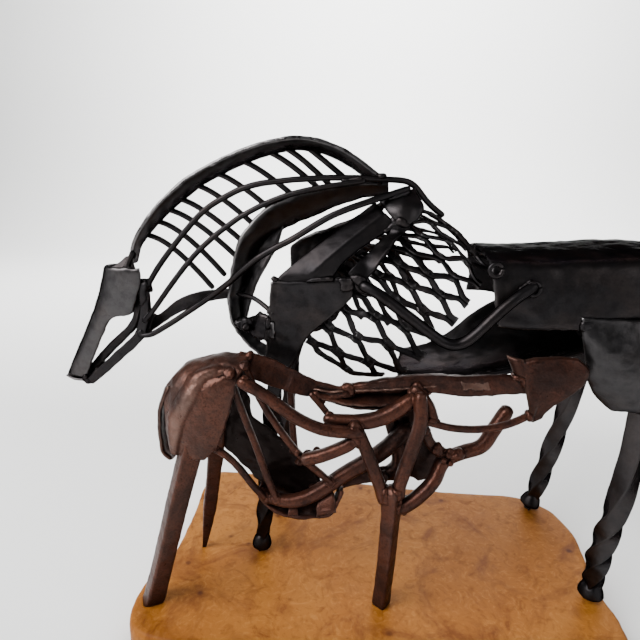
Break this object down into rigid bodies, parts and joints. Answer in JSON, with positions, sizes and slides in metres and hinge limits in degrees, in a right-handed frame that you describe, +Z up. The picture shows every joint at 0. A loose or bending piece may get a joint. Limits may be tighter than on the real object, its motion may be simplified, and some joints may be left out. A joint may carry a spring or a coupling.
{
  "type": "mare and foal sculpture",
  "caption": "Table sculpture of a mare and her foal in welded steel bar, sheet and open metal mesh, standing on a flat slab of burl wood.",
  "frame": {"origin": "On the slab's underside, at the middle of the whole piece's plan", "axes": "+Z up; +X along the mare from head to tail, so she faces -X and the foal faces +X; the foal stands on the -Y side"},
  "size_m": [0.3841, 0.158, 0.2699],
  "materials": {
    "burl_wood": "honey-coloured burl with small dark eyes and swirls, satin oil finish",
    "blackened_steel": "near-black forged steel with brown patina patches, waxed to a soft sheen",
    "russet_steel": "rust-brown steel, waxed, darker in the hollows and orange by the welds"
  },
  "bodies": {
    "root": {"burl_slab": "burl_wood", "foal_back_rod": "russet_steel", "foal_belly_rod": "russet_steel", "foal_belly_strip": "russet_steel", "foal_chest_rod": "russet_steel", "foal_ear": "russet_steel", "foal_elbow_rod": "russet_steel", "foal_fore_leg_far": "russet_steel", "foal_fore_leg_near": "russet_steel", "foal_head_plate": "russet_steel", "foal_hind_leg_far": "russet_steel", "foal_hind_leg_near": "russet_steel", "foal_neck_bar": "russet_steel", "foal_raised_rod": "russet_steel", "foal_rib_1": "russet_steel", "foal_rib_2": "russet_steel", "foal_rib_3": "russet_steel", "foal_rib_far": "russet_steel", "foal_rib_strut": "russet_steel", "foal_rump_sheet": "russet_steel", "foal_shoulder_rod_front": "russet_steel", "foal_shoulder_rod_rear": "russet_steel", "foal_side_plate_far": "russet_steel", "foal_side_rod": "russet_steel", "foal_spine_strap": "russet_steel", "foal_tail_strip": "russet_steel", "foal_thigh_plate_far": "russet_steel", "foal_thigh_plate_near": "russet_steel", "foal_throat_rod": "russet_steel", "foal_withers_leaf": "russet_steel", "mare_back_sheet": "blackened_steel", "mare_belly_rod": "blackened_steel", "mare_belly_trough": "blackened_steel", "mare_chest_bar": "blackened_steel", "mare_chest_rod": "blackened_steel", "mare_chest_web": "blackened_steel", "mare_face_plate": "blackened_steel", "mare_fore_leg_far": "blackened_steel", "mare_fore_leg_near": "blackened_steel", "mare_forehead_link": "blackened_steel", "mare_hind_leg_far": "blackened_steel", "mare_hind_leg_near": "blackened_steel", "mare_jaw_bar_far": "blackened_steel", "mare_jaw_bar_near": "blackened_steel", "mare_mane_comb": "blackened_steel", "mare_muzzle_cap": "blackened_steel", "mare_neck_rod_lower": "blackened_steel", "mare_neck_rod_middle": "blackened_steel", "mare_neck_rod_upper": "blackened_steel", "mare_rib_mesh": "blackened_steel", "mare_shoulder_bar_folded": "blackened_steel", "mare_shoulder_bar_rear": "blackened_steel", "mare_shoulder_plate_far": "blackened_steel", "mare_shoulder_plate_near": "blackened_steel", "mare_side_rod": "blackened_steel", "mare_tail": "blackened_steel", "mare_thigh_plate_far": "blackened_steel", "mare_thigh_plate_near": "blackened_steel", "mare_throat_bar": "blackened_steel", "mare_withers_flap": "blackened_steel"}
  },
  "joints": []
}
